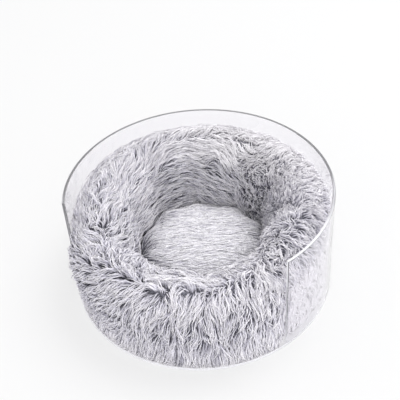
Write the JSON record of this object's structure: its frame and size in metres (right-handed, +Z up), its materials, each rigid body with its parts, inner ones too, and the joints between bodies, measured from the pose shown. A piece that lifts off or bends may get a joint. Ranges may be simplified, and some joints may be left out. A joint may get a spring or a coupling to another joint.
{
  "type": "donut pet bed",
  "caption": "Round plush pet bed: a stuffed long-pile ring with a pad in its middle, lying in a clear acrylic drum that is open at the front.",
  "frame": {"origin": "centre of the drum's underside, on the axis of the drum", "axes": "+Z up along the drum's axis; the opening in the wall faces -Y; +X to the right seen from the front"},
  "size_m": [0.5, 0.51, 0.215],
  "materials": {
    "acrylic": "clear cast acrylic sheet, polished faces and edges",
    "long_fur": "long-pile faux fur, pale lilac-white tips over grey roots",
    "short_fur": "shorter faux fur that lies flat, pale lavender",
    "fibre": "white polyester fibre filling",
    "under_cloth": "grey plain-woven polyester cloth",
    "zip_cloth": "woven zip tape",
    "zip_nylon": "moulded nylon"
  },
  "bodies": {
    "drum": {"acrylic_base": "acrylic", "acrylic_wall": "acrylic"},
    "cushion": {"bolster_cover": "long_fur", "bolster_filling": "fibre", "centre_pad_cover": "short_fur", "centre_pad_filling": "fibre", "bottom_panel": "under_cloth", "zip_tape_left": "zip_cloth", "zip_tape_right": "zip_cloth", "zip_teeth_left": "zip_nylon", "zip_teeth_right": "zip_nylon", "zip_stop_closed_end": "zip_nylon", "zip_stop_open_end": "zip_nylon"},
    "slider": {"zip_slider": "zip_nylon"}
  },
  "joints": [
    {"name": "cushion_lift", "type": "slide", "parent": "drum", "child": "cushion", "axis": [0, 0, 1], "range_m": [0, 0.26]},
    {"name": "zip_run", "type": "slide", "parent": "cushion", "child": "slider", "axis": [1, 0, 0], "range_m": [0, 0.185]}
  ]
}
